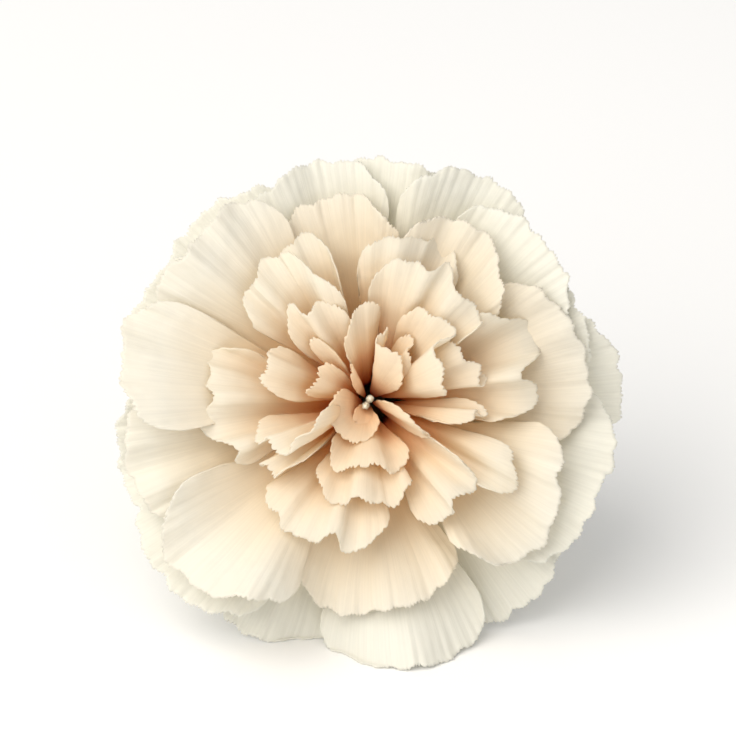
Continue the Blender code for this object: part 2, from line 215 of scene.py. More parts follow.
def spline(points, t):
    """Points at t, from -1 to 1, along a smooth curve through the points, and the curve's length."""
    p = np.array(points, float)
    ends = np.concatenate([[2 * p[0] - p[1]], p, [2 * p[-1] - p[-2]]])
    pieces = []
    for i in range(len(p) - 1):
        a, b, c, d = ends[i : i + 4]
        u = np.linspace(0, 1, FINE_STEPS, endpoint=i == len(p) - 2)[:, None]
        bend = (2 * a - 5 * b + 4 * c - d) * u**2 + (3 * b - 3 * c + d - a) * u**3
        pieces.append(b + 0.5 * ((c - a) * u + bend))
    fine = np.concatenate(pieces)
    length = np.concatenate([[0], np.cumsum(np.linalg.norm(np.diff(fine, axis=0), axis=1))])
    at = (t + 1) / 2 * length[-1]
    return np.stack([np.interp(at, length, fine[:, k]) for k in (0, 1)], axis=-1), length[-1]


def ring_curve(azimuth, half_span, place, slant):
    """The map curve of an outer or middle petal: an arc whose first edge lies slant further out."""
    points = []
    for t in (-1.0, -0.5, 0.0, 0.5, 1.0):
        angle = math.radians(azimuth + t * half_span)
        radius = place - slant * t
        points.append((radius * math.cos(angle), radius * math.sin(angle)))
    return points


print("a straight test curve is", round(spline([(0, 0), (3, 4), (6, 8)], np.zeros(1))[1], 2), "mm long")

# %% [markdown]
# ## Fifty petals, as curves in the map
# The outer and middle petals are arcs, each given by its direction, half its width, its place between
# the heart and the rim, and its length. The petals of the heart fold back and forth, so each is a short
# list of points in the map. The last number of a ring petal and the second of a heart petal is its
# length above the calyx in millimetres.

# %% The petals
# Name, azimuth, half its span in degrees, place in the map from 0 to 30, how much further out its first
# edge lies than its last, and its length above the calyx
OUTER_PETALS = (
    ("outer_petal_01", 84, 24, 28.9, 0.2, 34.2),
    ("outer_petal_02", 105, 22, 27.1, 0.3, 34.6),
    ("outer_petal_03", 131, 25, 28.9, 0.2, 35.2),
    ("outer_petal_04", 157, 22, 27.4, 0.3, 35.2),
    ("outer_petal_05", 197, 25, 28.9, 0.2, 36.0),
    ("outer_petal_06", 222, 22, 26.9, 0.1, 39.0),
    ("outer_petal_07", 245, 18, 28.9, 0.2, 37.0),
    ("outer_petal_08", 279, 22, 27.4, -0.2, 39.2),
    ("outer_petal_09", 309, 20, 28.9, 0.2, 36.2),
    ("outer_petal_10", 338, 26, 26.0, -0.3, 36.8),
    ("outer_petal_11", 6, 20, 28.9, 0.2, 35.8),
    ("outer_petal_12", 22, 20, 26.9, 0.1, 33.4),
    ("outer_petal_13", 42, 24, 25.3, 0.2, 35.0),
    ("outer_petal_14", 62, 20, 27.5, 0.2, 36.0),
)
MIDDLE_PETALS = (
    ("middle_petal_01", 138, 25, 23.4, 0.3, 37.2),
    ("middle_petal_02", 170, 19, 21.9, 0.3, 39.4),
    ("middle_petal_03", 194, 24, 24.2, 0.3, 37.0),
    ("middle_petal_04", 226, 24, 22.6, -0.3, 38.6),
    ("middle_petal_05", 273, 29, 24.2, -0.2, 31.4),
    ("middle_petal_06", 327, 27, 22.4, -0.3, 34.0),
    ("middle_petal_07", 14, 29, 24.0, 0.2, 33.0),
    ("middle_petal_08", 57, 24, 22.4, -0.2, 31.0),
    ("middle_petal_09", 100, 22, 24.6, -0.2, 30.4),
)
# The folded petals of the heart: name, length, and the points of its curve in the map
INNER_PETALS = (
    ("inner_petal_01", 29.0, (19.8, -3.4), (20.4, 0.6), (18.6, 4.4),
     (19.6, 8.6), (16.2, 12.0), (15.2, 14.2)),
    ("inner_petal_02", 29.0, (13.0, 17.0), (10.2, 17.6), (7.6, 19.6),
     (3.8, 19.2), (0.8, 20.4), (-2.0, 20.2)),
    ("inner_petal_03", 28.5, (-0.2, 17.4), (3.2, 17.8), (6.2, 15.8), (9.0, 15.8),
     (11.4, 13.2), (14.6, 12.4), (14.8, 8.6)),
    ("inner_petal_04", 26.0, (5.0, 14.0), (8.2, 12.6), (9.7, 9.2), (7.9, 6.2), (9.0, 2.6), (12.2, 0.8)),
    ("inner_petal_05", 25.0, (12.2, 11.2), (11.2, 7.4), (12.6, 4.6), (16.0, 3.2), (16.8, 6.4)),
    ("inner_petal_06", 24.0, (-3.8, 8.6), (-2.2, 11.4), (0.4, 12.4), (1.8, 15.2)),
    ("inner_petal_07", 23.0, (3.2, 12.6), (2.2, 9.0), (1.6, 6.6), (3.0, 4.2), (5.8, 2.6)),
    ("inner_petal_08", 22.0, (5.2, 11.4), (5.8, 8.4), (5.0, 6.4), (6.8, 4.6)),
    ("inner_petal_09", 20.0, (-4.6, 3.0), (-4.0, -1.2), (-2.6, -4.6), (0.0, -4.8), (1.4, -2.4)),
    ("inner_petal_10", 22.5, (2.6, 0.6), (4.2, -1.8), (7.2, -3.4), (9.0, -6.6)),
    ("inner_petal_11", 30.0, (19.0, -5.6), (16.8, -6.8), (16.6, -9.4), (13.8, -10.8)),
    ("inner_petal_12", 28.0, (-15.0, -12.4), (-11.4, -14.0), (-9.4, -17.2),
     (-5.0, -16.6), (-1.4, -18.4), (3.6, -17.2)),
    ("inner_petal_13", 23.0, (-7.0, -6.6), (-3.6, -8.6), (0.4, -7.2), (3.8, -8.8), (7.6, -9.0)),
    ("inner_petal_14", 25.0, (-8.8, -10.6), (-5.0, -13.2), (-1.0, -11.4),
     (2.6, -13.4), (5.6, -11.6), (7.6, -12.6)),
    ("inner_petal_15", 27.5, (10.6, -5.4), (12.8, -9.6), (10.3, -12.8), (10.8, -15.8), (7.0, -18.0)),
    ("inner_petal_16", 26.5, (-17.2, -2.2), (-14.6, -4.8), (-11.4, -4.2),
     (-8.8, -5.8), (-6.6, -3.4), (-6.2, -0.2)),
    ("inner_petal_17", 21.0, (-10.4, 1.4), (-7.4, 2.2), (-6.8, 4.6), (-4.8, 6.0)),
    ("inner_petal_18", 28.5, (-18.2, 8.6), (-19.6, 4.8), (-17.8, 1.2),
     (-19.9, -2.6), (-18.2, -6.2), (-18.4, -9.8)),
    ("inner_petal_19", 25.0, (-14.8, 9.4), (-12.8, 6.4), (-14.4, 3.2), (-12.6, 0.4)),
    ("inner_petal_20", 26.0, (-16.2, -9.0), (-13.4, -7.6), (-11.6, -9.6), (-9.0, -7.8)),
    ("inner_petal_21", 30.0, (-17.2, 11.0), (-15.4, 14.0), (-12.2, 14.2),
     (-9.6, 16.4), (-6.4, 14.8), (-3.8, 16.6)),
    ("inner_petal_22", 26.0, (-12.2, 9.4), (-10.2, 11.8), (-7.4, 10.8), (-5.6, 12.8), (-2.4, 13.8)),
    ("inner_petal_23", 29.0, (-11.4, 18.0), (-8.6, 18.2), (-6.2, 20.0), (-4.2, 19.2)),
    ("inner_petal_24", 18.0, (-2.4, 2.4), (-1.6, 4.6), (-2.8, 6.4)),
    ("inner_petal_25", 25.0, (11.4, -3.2), (13.8, -1.2), (15.8, -1.8), (17.4, 0.8)),
    ("inner_petal_26", 22.5, (-9.2, 8.0), (-7.2, 8.8), (-5.2, 8.0)),
    ("inner_petal_27", 17.0, (1.4, -2.2), (-0.8, -2.4), (-2.2, -1.0)),
)
print("petals:", len(OUTER_PETALS) + len(MIDDLE_PETALS) + len(INNER_PETALS))

# %% [markdown]
# ## From the flower's own axes to the surface it lies on
# The flow is worked out upright, with the flower's axis along Z. The frame holds the flower lying down,
# so one function turns and moves the points. The move is read from the frame: the core inside the calyx
# is turned about the axis, so the middle of its sides gives the axis and its top gives the height.

# %% Where the flower lies
turn = np.array(Matrix.Rotation(math.radians(REST_LEAN), 3, "X"))
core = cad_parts["receptacle"]
core_points = np.array([core.matrix_world @ v.co for v in core.data.vertices]) @ turn
core_low, core_high = core_points.min(axis=0), core_points.max(axis=0)
axis_foot = np.array([*(core_low + core_high)[:2] / 2, core_high[2] + (CLAW_DEPTH + GAP) * MM])


def in_place(points):
    """Points in the flower's own millimetres, turned and moved to where it lies, in metres."""
    return (np.asarray(points) * MM + axis_foot) @ turn.T


print("the mouth of the calyx is at", in_place([[0.0, 0.0, 0.0]]).round(4))

# %% [markdown]
# ## A closed petal from one sheet
# A real petal is about a quarter of a millimetre thick, and light comes through it, so each petal has
# two faces and a rim instead of one bare sheet. The sheet is a grid of points. Its two faces lie half
# the thickness to each side, and a strip along the border closes them. A Solidify modifier would do the
# same, but here the grid's own numbers (how far along and how far across) also go into the petal's UV
# map, in millimetres, for the material to read.


# %% Sheets into petals
def grid_normals(grid):
    """The unit normal at each point of a grid surface."""
    normal = np.cross(np.gradient(grid, axis=1), np.gradient(grid, axis=0))
    return normal / np.maximum(np.linalg.norm(normal, axis=-1, keepdims=True), 1e-12)


def sheet_mesh(name, grid, thickness, across, along, rimness):
    """A closed mesh about a grid surface, with its UV map and the attributes for the crinkle tree."""
    rows, columns = grid.shape[:2]
    normal = grid_normals(grid)
    offset = normal * thickness[..., None] / 2
    points = in_place(np.concatenate([(grid + offset).reshape(-1, 3), (grid - offset).reshape(-1, 3)]))
    back = rows * columns
    index = np.arange(back).reshape(rows, columns)
    corners = (index[:-1, :-1], index[:-1, 1:], index[1:, 1:], index[1:, :-1])
    front = np.stack(corners, axis=-1).reshape(-1, 4)
    border = np.concatenate([index[0], index[1:, -1], index[-1, -2::-1], index[-2:0:-1, 0]])
    following = np.roll(border, -1)
    strip = np.stack([following, border, border + back, following + back], axis=-1)
    faces = np.concatenate([front, front[:, ::-1] + back, strip])
    mesh = bpy.data.meshes.new(name)
    mesh.from_pydata(points, [], faces)
    facing = np.tile(normal.reshape(-1, 3) @ turn.T, (2, 1))
    stored = mesh.attributes.new("facing", "FLOAT_VECTOR", "POINT")
    stored.data.foreach_set("vector", facing.ravel())
    stored = mesh.attributes.new("rimness", "FLOAT", "POINT")
    stored.data.foreach_set("value", np.tile(rimness.ravel(), 2))
    uv = np.stack([np.tile(across.ravel(), 2), np.tile(along.ravel(), 2)], axis=-1)
    loops = np.empty(len(mesh.loops), np.int32)
    mesh.loops.foreach_get("vertex_index", loops)
    mesh.uv_layers.new(name="petal_mm").data.foreach_set("uv", uv[loops].ravel())
    mesh.polygons.foreach_set("use_smooth", np.ones(len(mesh.polygons), bool))
    obj = bpy.data.objects.new(name, mesh)
    bpy.context.scene.collection.objects.link(obj)
    return obj


flat_sheet = np.array([[(x, y, 0.0) for x in range(3)] for y in range(3)])
print("a flat sheet faces", grid_normals(flat_sheet)[1, 1])

# %% [markdown]
# ## What makes it a carnation: toothed, ruffled rims
# A carnation's rims are pinked, as if cut with a dressmaker's shears: teeth about a millimetre apart
# and half a millimetre deep. They could be a Displace modifier or a texture, but teeth have sharp
# notches, so they are cut out of the rim's own line, from a random saw-tooth curve whose teeth differ
# in width and depth.

# %% Toothed rims
TOOTH_SPACING = 1.05
TOOTH_DEPTH = 0.6
TOOTH_ROUNDNESS = 1.4
# How far the teeth stray from even spacing, in teeth, and over which distances along the rim
TOOTH_STRAY = 0.35
TOOTH_STRAY_SIZES = (3.0, 9.0)
random = np.random.default_rng(7)


def waves(at, sizes, count):
    """A smooth random line: a sum of sines of random phase whose wavelengths lie between the two sizes."""
    total = np.zeros_like(at)
    for wavelength in np.geomspace(*sizes, count):
        total += np.sin(at * math.tau / wavelength + random.uniform(0, math.tau)) / count**0.5
    return total


def rim_teeth(at):
    """How deep the rim is cut at this distance along it: unequal teeth with rounded points."""
    beat = at / TOOTH_SPACING + TOOTH_STRAY * waves(at, TOOTH_STRAY_SIZES, 3)
    tooth = np.floor(beat).astype(int)
    depths = random.uniform(0.35, 1.0, tooth.max() - tooth.min() + 1)[tooth - tooth.min()]
    return TOOTH_DEPTH * depths * np.abs(2.0 * (beat - tooth) - 1.0) ** TOOTH_ROUNDNESS


print("teeth along a rim's reckoned length are", TOOTH_SPACING, "mm apart, up to", TOOTH_DEPTH, "mm deep")

# %% [markdown]
# ## The whole petal
# Behind the teeth the rim waves, because it is longer than the petal is wide. The waves are added in
# the bud map, where their depth can be set against the space between two petals, and stay within about
# a millimetre of the map's sixty. The rims of the middle petals and of the heart also curl over
# outwards. The curl leaves the shared flow, so a curled rim may press into the next petal, and it is
# kept to the last third or so of the length. A petal is built row by row from its claw to its rim: each
# row is a stretch of its curve in the map, narrow in the calyx and wide above it, run out along the
# flow. The length of its rim is reckoned from the curve. On the outer petals that comes out about half
# too long, so their teeth are closer, 0.6 to 0.8 mm apart.

# %% Petal shape
BLADE_THICKNESS = 0.24
CLAW_THICKNESS = 0.16
# The height of a petal's side edges as a share of its length, how square its corners are, how much lower
# its sides are still, and the depth and wavelengths of the slow unevenness of its rim
EDGE_SHARE = 0.72
CORNER = 3.0
SIDE_DROP = 0.05
UNEVENNESS = 0.35
UNEVENNESS_SIZES = (6.0, 16.0)
# The small waves of the rim itself, and the shares of the length where curl and teeth begin
RIM_WAVE = 0.05
RIM_WAVE_SIZES = (2.4, 4.5)
CURL_SHARE = 0.62
TEETH_SHARE = 0.93
# Heights of the rows in the calyx, and how many rows lie past 0.8 of the length, where the rim needs them
CLAW_HEIGHTS = (-CLAW_DEPTH, -6.0, -0.5)
RIM_ROWS = 13


def fine_petal(name, points, length, columns, rows, ruffle, wavelengths, curl):
    """One petal: ruffle is the depth of its own waves in the map, curl the extra lean of its rim."""
    side = np.linspace(-1.0, 1.0, columns)
    _, curve_length = spline(points, np.zeros(1))
    claw_share = min(0.8, CLAW_WIDTH / (curve_length * MOUTH_RADIUS / MAP_RADIUS))
    radius = np.hypot(*np.array(points).T).mean()
    spread = curve_length * (1.0 + 1.6 * radius / MAP_RADIUS)  # the reckoned length of the rim
    at = side * spread / 2
    rim = length * (EDGE_SHARE + (1.0 - EDGE_SHARE) * (1.0 - np.abs(side) ** CORNER) ** (1.0 / CORNER))
    rim = rim * (1.0 - SIDE_DROP * side**2) + UNEVENNESS * waves(at, UNEVENNESS_SIZES, 3)
    teeth = rim_teeth(at)
    wave = ruffle * waves(at, wavelengths, 3)
    rim_wave = RIM_WAVE * waves(at, RIM_WAVE_SIZES, 3)
    x_out, y_out = np.gradient(spline(points, side)[0], side, axis=0).T
    norm = np.maximum(np.hypot(x_out, y_out), 1e-9)
    grid, thickness, along, rimness = [], [], [], []
    claw_rows = [np.full(columns, height) for height in CLAW_HEIGHTS]
    blade_rows = rows - len(CLAW_HEIGHTS) - RIM_ROWS
    shares = np.concatenate([np.linspace(0.06, 0.8, blade_rows), np.linspace(0.8, 1.0, RIM_ROWS + 1)[1:]])
    for height in (*claw_rows, *(rim * share for share in shares)):
        share = np.clip(height / rim, 0.0, 1.0)
        height = height - teeth * smooth_step((share - TEETH_SHARE) / (1.0 - TEETH_SHARE))
        opened = smooth_step(1.15 * height / length) ** 0.75
        place, _ = spline(points, side * (claw_share + (1.0 - claw_share) * opened))
        push = wave * share**2.5 + rim_wave * share**5
        x = place[:, 0] + y_out / norm * push
        y = place[:, 1] - x_out / norm * push
        x, y = ruffled(x, y, height, length)
        curl_start = length * CURL_SHARE
        grid.append(pressed(flow(x, y, height, math.radians(curl), curl_start, length - curl_start)))
        blade_share = smooth_step(2.5 * height / length)
        thickness.append(CLAW_THICKNESS + (BLADE_THICKNESS - CLAW_THICKNESS) * blade_share)
        along.append(height)
        rimness.append(share**2)
    across = np.tile(at, (len(grid), 1))
    rimness = np.array(rimness)
    return sheet_mesh(name, np.array(grid), np.array(thickness), across, np.array(along), rimness)


print("a petal is", CLAW_THICKNESS, "mm thick at its claw and", BLADE_THICKNESS, "mm in its blade")

# %% [markdown]
# ## Petal skin
# A fresh carnation petal is a thin, matt, slightly waxy skin over cells full of water. Its look comes
# from three things: ivory at the rim that turns to cream and then peach towards the claw, fine veins
# that fan out along it, and the light that comes through it and makes the folds glow. The peach
# towards the claw is partly the petal's own tint and partly painted glow: a light, warm orange that
# stands in for light bounced about in the deep, shaded heart of the bloom. Water in the cells gives an
# IOR near 1.4 and the cell tops a roughness of about 0.6. The veins could be modelled, but they hardly
# stand out, so they are a noise stretched along the petal, up to half a millimetre apart, that tints
# the skin and bumps it a little.

# %% Petal material
# Where along the petal the colours of its claw, foot, blade and rim lie, as shares of its reach
CLAW_STOP = 0.10
FOOT_STOP = 0.34
BLADE_STOP = 0.62
RIM_STOP = 0.92
VEINS_PER_MM = 2.0


def petal_material(name, reach, rim, blade, foot, claw, glow):
    """Petal skin of this reach in mm and these four colours, which lets this share of light through."""
    made, tree = new_material(name)
    uv = add_node(tree, "ShaderNodeUVMap", uv_map="petal_mm")
    parts = add_node(tree, "ShaderNodeSeparateXYZ", {"Vector": uv.outputs[0]})
    height = add_node(tree, "ShaderNodeMapRange", {"Value": parts.outputs[1]},
                      {"From Min": 0.0, "From Max": reach})
    ramp = add_node(tree, "ShaderNodeValToRGB", {"Fac": height.outputs[0]})
    # The claw colour, and the foot colour set below, are the petal's peach tint with painted warm glow,
    # which lightens the shaded depths of the bloom
    ramp.color_ramp.elements[0].position = CLAW_STOP
    ramp.color_ramp.elements[0].color = hex_colour(claw)
    ramp.color_ramp.elements[1].position = RIM_STOP
    ramp.color_ramp.elements[1].color = hex_colour(rim)
    for position, code in ((FOOT_STOP, foot), (BLADE_STOP, blade)):
        ramp.color_ramp.elements.new(position).color = hex_colour(code)
    stretched = add_node(tree, "ShaderNodeMapping", {"Vector": uv.outputs[0]},
                         {"Scale": (VEINS_PER_MM, 0.05, 1.0)})
    vein = add_node(tree, "ShaderNodeTexNoise", {"Vector": stretched.outputs[0]},
                    {"Scale": 1.0, "Detail": 3.0, "Roughness": 0.55})
    shade = add_node(tree, "ShaderNodeMapRange", {"Value": vein.outputs[0]},
                     {"From Min": 0.3, "From Max": 0.7, "To Min": 0.96, "To Max": 1.02})
    colour = add_node(tree, "ShaderNodeVectorMath", {0: ramp.outputs[0]}, operation="SCALE")
    tree.links.new(shade.outputs[0], colour.inputs["Scale"])
    bump = add_node(tree, "ShaderNodeBump", {"Height": vein.outputs[0]},
                    {"Strength": 0.2, "Distance": 0.2 * MM})
    skin = add_node(tree, "ShaderNodeBsdfPrincipled",
                    {"Base Color": colour.outputs[0], "Normal": bump.outputs[0]},
                    {"Roughness": 0.6, "IOR": 1.4, "Specular IOR Level": 0.35, "Sheen Weight": 0.1})
    through = add_node(tree, "ShaderNodeBsdfTranslucent",
                       {"Color": colour.outputs[0], "Normal": bump.outputs[0]})
    mixed = add_node(tree, "ShaderNodeMixShader", {1: skin.outputs[0], 2: through.outputs[0]}, {0: glow})
    add_node(tree, "ShaderNodeOutputMaterial", {"Surface": mixed.outputs[0]})
    return made


# The heart's petals are shorter and take more light through them, and their feet are a deeper peach:
# their own tint, with painted warm glow that lightens the shaded centre of the bloom
outer_skin = petal_material("ivory_petal_skin", 36.0, "#f5f3e8", "#f4efdd", "#f4e0b8", "#efbd80", 0.24)
middle_skin = petal_material("cream_petal_skin", 36.0, "#f6f2e6", "#f8ead0", "#f8d8a6", "#f4b878", 0.30)
heart_skin = petal_material("peach_tint_and_glow_skin", 29.0, "#f9f3e4", "#fce9ca", "#fdca8a", "#fda548", 0.40)
print("petal skins:", outer_skin.name, middle_skin.name, heart_skin.name)

# %% [markdown]
# ## Crinkles over every petal
# Between its veins a petal is never quite smooth: it is crinkled at a scale of a few millimetres, most
# of all near the rim. The same small tree of geometry nodes runs on each petal, because the crinkle
# follows the surface: it reads which way the petal faces, moves both of its faces together by a noise,
# and sets the material.


# %% Crinkle tree
def crinkle_tree():
    """Geometry nodes that move a petal's points along the direction it faces, more towards its rim."""
    tree = bpy.data.node_groups.new("petal_crinkle", "GeometryNodeTree")
    tree.interface.new_socket("Geometry", in_out="INPUT", socket_type="NodeSocketGeometry")
    for name, kind in (("Crinkle Depth", "Float"), ("Crinkle Size", "Float"), ("Seed", "Float"),
                       ("Petal Skin", "Material")):
        tree.interface.new_socket(name, in_out="INPUT", socket_type="NodeSocket" + kind)
    tree.interface.new_socket("Geometry", in_out="OUTPUT", socket_type="NodeSocketGeometry")
    given = add_node(tree, "NodeGroupInput").outputs
    facing = add_node(tree, "GeometryNodeInputNamedAttribute", values={"Name": "facing"},
                      data_type="FLOAT_VECTOR")
    rimness = add_node(tree, "GeometryNodeInputNamedAttribute", values={"Name": "rimness"},
                       data_type="FLOAT")
    position = add_node(tree, "GeometryNodeInputPosition")
    pitch = add_node(tree, "ShaderNodeMath", {1: given["Crinkle Size"]}, {0: 1.0}, operation="DIVIDE")
    noise = add_node(tree, "ShaderNodeTexNoise", {"Vector": position.outputs[0], "W": given["Seed"],
                     "Scale": pitch.outputs[0]}, {"Detail": 2.0}, noise_dimensions="4D")
    centred = add_node(tree, "ShaderNodeMath", {0: noise.outputs[0]}, {1: 0.5}, operation="SUBTRACT")
    deep = add_node(tree, "ShaderNodeMath", {0: centred.outputs[0], 1: given["Crinkle Depth"]},
                    operation="MULTIPLY")
    grown = add_node(tree, "ShaderNodeMath", {0: deep.outputs[0], 1: rimness.outputs[0]},
                     operation="MULTIPLY")
    offset = add_node(tree, "ShaderNodeVectorMath", {0: facing.outputs[0], "Scale": grown.outputs[0]},
                      operation="SCALE")
    moved = add_node(tree, "GeometryNodeSetPosition",
                     {"Geometry": given["Geometry"], "Offset": offset.outputs[0]})
    whole = add_node(tree, "GeometryNodeRealizeInstances", {"Geometry": moved.outputs[0]})
    skinned = add_node(tree, "GeometryNodeSetMaterial", {"Geometry": whole.outputs[0],
                       "Material": given["Petal Skin"]})
    add_node(tree, "NodeGroupOutput", {"Geometry": skinned.outputs[0]})
    return tree


def run_tree(obj, tree, **inputs):
    """Runs a tree on an object with these named inputs and keeps the result as its plain mesh."""
    modifier = obj.modifiers.new(tree.name, "NODES")
    modifier.node_group = tree
    given = [item for item in tree.interface.items_tree if item.in_out == "INPUT"]
    sockets = {item.name: item.identifier for item in given}
    for name, value in inputs.items():
        modifier[sockets[name.replace("_", " ")]] = value
    graph = bpy.context.evaluated_depsgraph_get()
    evaluated = obj.evaluated_get(graph)
    mesh = bpy.data.meshes.new_from_object(evaluated, preserve_all_data_layers=True, depsgraph=graph)
    obj.modifiers.clear()
    obj.data = mesh
    mesh.name = obj.name


def stands_for(obj, node):
    """Puts a finished piece on the one rigid body in place of its plain solid."""
    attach(obj, "root")
    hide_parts(node)


crinkles = crinkle_tree()
print("inputs:", [item.name for item in crinkles.interface.items_tree if item.in_out == "INPUT"])

# %% [markdown]
# ## All fifty petals
# One loop makes them: a ring petal's curve is worked out first, a heart petal's is already in the
# table. The wide outer petals get the most points across, so that every tooth has about three.

# %% Make the petals
# Points across a petal and rows of them along it
RING_GRID = (150, 52)
HEART_GRID = (110, 46)
CRINKLE_DEPTH = 0.9 * MM
CRINKLE_SIZE = 4.0 * MM
plans = [(name, ring_curve(*shape), length, slot)
         for table, slot in ((OUTER_PETALS, "outer_petals"), (MIDDLE_PETALS, "middle_petals"))
         for name, *shape, length in table]
plans += [(name, points, length, "inner_petals") for name, length, *points in INNER_PETALS]
# For each kind of petal: its grid, the depth and the wavelengths of its waves, its curl, and its skin
finish = {"outer_petals": (RING_GRID, 0.17, (13.0, 27.0), 0.0, outer_skin),
          "middle_petals": (RING_GRID, 0.34, (10.0, 24.0), 22.0, middle_skin),
          "inner_petals": (HEART_GRID, 0.55, (8.0, 17.0), 62.0, heart_skin)}
triangles = 0
for number, (name, points, length, slot) in enumerate(plans):
    size, ruffle, wavelengths, curl, skin = finish[slot]
    petal = fine_petal(name + "_fine", points, length, *size, ruffle, wavelengths, curl)
    run_tree(petal, crinkles, Crinkle_Depth=CRINKLE_DEPTH, Crinkle_Size=CRINKLE_SIZE,
             Seed=float(number), Petal_Skin=skin)
    stands_for(petal, name)
    triangles += 2 * len(petal.data.polygons)
print("petals:", len(plans), "triangles:", triangles)

# %% [markdown]
# ## Green skin
# The calyx, bracts and stem of a carnation have a smooth skin with a thin bloom of wax, which makes the
# green look grey and a little silvery. It is finely lined lengthwise and a little patchy. The lines are
# a noise stretched along the flower's axis, which lies slanted, so the noise is turned with it, and a
# coarser noise lays patches over them. Wax has an IOR near 1.45, and its bloom scatters light, so the
# roughness is about 0.5.

# %% Green material
PER_MM = 1000.0
PATCH_SIZE = 6.25


def green_material(name, light, dark, lines):
    """Waxy green skin with fine lines along the flower's axis, about this many per millimetre."""
    made, tree = new_material(name)
    place = add_node(tree, "ShaderNodeTexCoord")
    lined = add_node(tree, "ShaderNodeMapping", {"Vector": place.outputs["Object"]},
                     {"Rotation": (math.radians(-REST_LEAN), 0.0, 0.0),
                      "Scale": (lines, lines, lines * 0.04)})
    noise = add_node(tree, "ShaderNodeTexNoise", {"Vector": lined.outputs[0]},
                     {"Scale": PER_MM, "Detail": 4.0})
    patches = add_node(tree, "ShaderNodeTexNoise", {"Vector": place.outputs["Object"]},
                       {"Scale": PER_MM / PATCH_SIZE, "Detail": 5.0})
    both = add_node(tree, "ShaderNodeMath", {0: noise.outputs[0], 1: patches.outputs[0]},
                    operation="MULTIPLY")
    ramp = add_node(tree, "ShaderNodeValToRGB", {"Fac": both.outputs[0]})
    ramp.color_ramp.elements[0].position = 0.12
    ramp.color_ramp.elements[0].color = hex_colour(dark)
    ramp.color_ramp.elements[1].position = 0.42
    ramp.color_ramp.elements[1].color = hex_colour(light)
    bump = add_node(tree, "ShaderNodeBump", {"Height": noise.outputs[0]},
                    {"Strength": 0.3, "Distance": 0.2 * MM})
    skin = add_node(tree, "ShaderNodeBsdfPrincipled",
                    {"Base Color": ramp.outputs[0], "Normal": bump.outputs[0]},
                    {"Roughness": 0.5, "IOR": 1.45, "Coat Weight": 0.08, "Coat Roughness": 0.4})
    add_node(tree, "ShaderNodeOutputMaterial", {"Surface": skin.outputs[0]})
    return made


calyx_skin = green_material("waxy_calyx_skin", "#9db37a", "#6f8a4c", 1.6)
bract_skin = green_material("waxy_bract_skin", "#a5b67f", "#77874f", 2.2)
stem_skin = green_material("waxy_stem_skin", "#8fae7d", "#658556", 1.2)
flesh = green_material("pale_flesh", "#d9dcb4", "#bcc48a", 2.0)
style_skin = green_material("white_style_skin", "#f4f1e2", "#e4dfc6", 2.0)
print("green skins:", [m.name for m in (calyx_skin, bract_skin, stem_skin, flesh, style_skin)])

# %% [markdown]
# ## Pieces turned about the axis
# The calyx, the stem and the styles are round, so each is a stack of rings joined by faces and shut at
# both ends. A lathe, Blender's Screw modifier, makes such shapes from one profile, but only with plain
# round rings. Here a ring may be any row of points, so a rim can run up into teeth and a stem can bow.


# %% Turned pieces
def circle(radius, height, sides):
    """A ring of points about the flower's axis."""
    turns = np.arange(sides) / sides * math.tau
    return np.stack([radius * np.cos(turns), radius * np.sin(turns), np.full(sides, height)], axis=-1)


def ring_object(name, rings, material):
    """A smooth closed object through rings of points, shut at each end by a fan."""
    count = len(rings[0])
    points = np.concatenate([*rings, [rings[0].mean(axis=0)], [rings[-1].mean(axis=0)]])
    steps = np.arange(count)
    following = (steps + 1) % count
    faces = []
    for i in range(len(rings) - 1):
        a, b = i * count, (i + 1) * count
        faces += np.stack([a + steps, a + following, b + following, b + steps], axis=-1).tolist()
    last = (len(rings) - 1) * count
    faces += np.stack([following, steps, np.full(count, len(points) - 2)], axis=-1).tolist()
    faces += np.stack([last + steps, last + following, np.full(count, len(points) - 1)], axis=-1).tolist()
    mesh = bpy.data.meshes.new(name)
    mesh.from_pydata(in_place(points), [], faces)
    shape = bmesh.new()
    shape.from_mesh(mesh)
    bmesh.ops.recalc_face_normals(shape, faces=shape.faces)
    shape.to_mesh(mesh)
    shape.free()
    mesh.polygons.foreach_set("use_smooth", np.ones(len(mesh.polygons), bool))
    mesh.materials.append(material)
    obj = bpy.data.objects.new(name, mesh)
    bpy.context.scene.collection.objects.link(obj)
    return obj


print("a ring of 8 points has its first at", circle(3.0, 0.0, 8)[0])

# %% [markdown]
# ## Calyx
# The calyx is the green tube that the sepals grow together into. It holds the claws of all the petals,
# and its five teeth bend out under the lowest of them, so the ring at its mouth follows the same flow
# lines as the petals do. It has a wall and is open at the mouth: one closed stack of rings runs up its
# outside, over the teeth and down its inside. Faint ribs run along it.

# %% Calyx
CALYX_WALL = 0.6
CALYX_BORE = 8.1
TOOTH_COUNT = 5
CALYX_TOOTH = 4.5
# Heights and outer radii of the calyx, from its foot to its mouth
CALYX_PROFILE = ((-26.0, 3.0), (-25.0, 4.3), (-22.0, 5.6), (-17.0, 6.9), (-CLAW_DEPTH, 7.45), (-5.0, 8.2),
                 (0.0, CALYX_BORE + CALYX_WALL))
CALYX_FOOT = CALYX_PROFILE[0][0]
CALYX_SIDES = 160
RIB_COUNT = 35
RIB_DEPTH = 0.006


def profile_radius(height):
    """The calyx's outer radius at a height."""
    return np.interp(height, *np.array(CALYX_PROFILE).T)


def calyx_rim(share, tooth_share):
    """A ring of the flow at this share of the map, run up each tooth by a share of its length."""
    turns = np.arange(CALYX_SIDES) / CALYX_SIDES * math.tau
    tooth = np.abs((turns / math.tau * TOOTH_COUNT) % 1.0 - 0.5) * 2.0
    height = CALYX_TOOTH * (0.15 + 0.85 * tooth) * tooth_share
    radius = share * MAP_RADIUS
    return flow(radius * np.cos(turns), radius * np.sin(turns), height)


